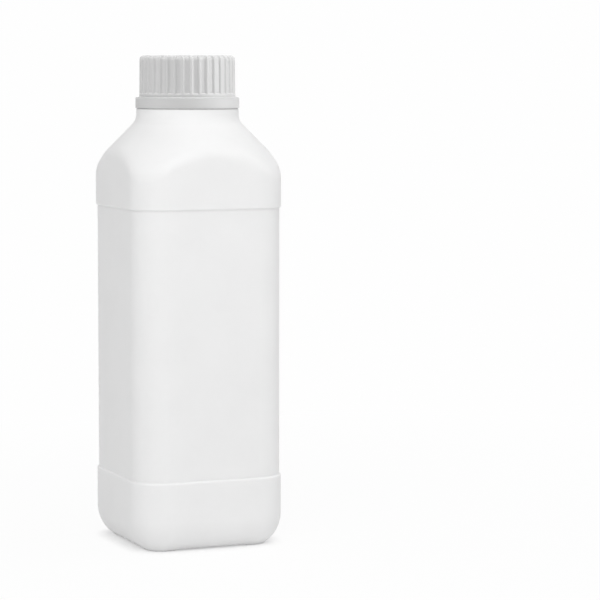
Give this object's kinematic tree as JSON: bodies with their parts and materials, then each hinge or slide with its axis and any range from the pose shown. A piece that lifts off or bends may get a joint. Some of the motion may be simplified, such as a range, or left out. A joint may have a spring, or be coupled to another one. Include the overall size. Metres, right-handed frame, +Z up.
{
  "type": "safety cap bottle",
  "caption": "Square blown plastic bottle with rounded corners, a recessed panel, a round neck, a ribbed screw cap that unscrews and lifts off, and a plain tamper ring.",
  "frame": {"origin": "centre of the bottle's footprint, on the plane of its four corner feet", "axes": "+Z up along the bottle's and the cap's axis; -Y out of the flat side that the picture shows widest"},
  "size_m": [0.078, 0.078, 0.2396],
  "materials": {
    "bottle_plastic": "satin",
    "cap_plastic": "satin",
    "ring_plastic": "satin",
    "liner_foam": "matte"
  },
  "bodies": {
    "bottle": {"bottle": "bottle_plastic", "tamper_ring": "ring_plastic"},
    "liner": {"sealing_liner": "liner_foam"},
    "cap": {"cap": "cap_plastic"}
  },
  "joints": [
    {"name": "cap_rise", "type": "slide", "parent": "bottle", "child": "liner", "axis": [0, 0, 1], "range_m": [0, 0.04]},
    {"name": "cap_turn", "type": "hinge", "parent": "liner", "child": "cap", "pos_m": [0, 0, 0.2297], "axis": [0, 0, 1], "range_deg": [0, 3600]}
  ],
  "couplings": [
    {"joint": "cap_rise", "follows": "cap_turn", "m_per_rad": 0.0006366}
  ]
}
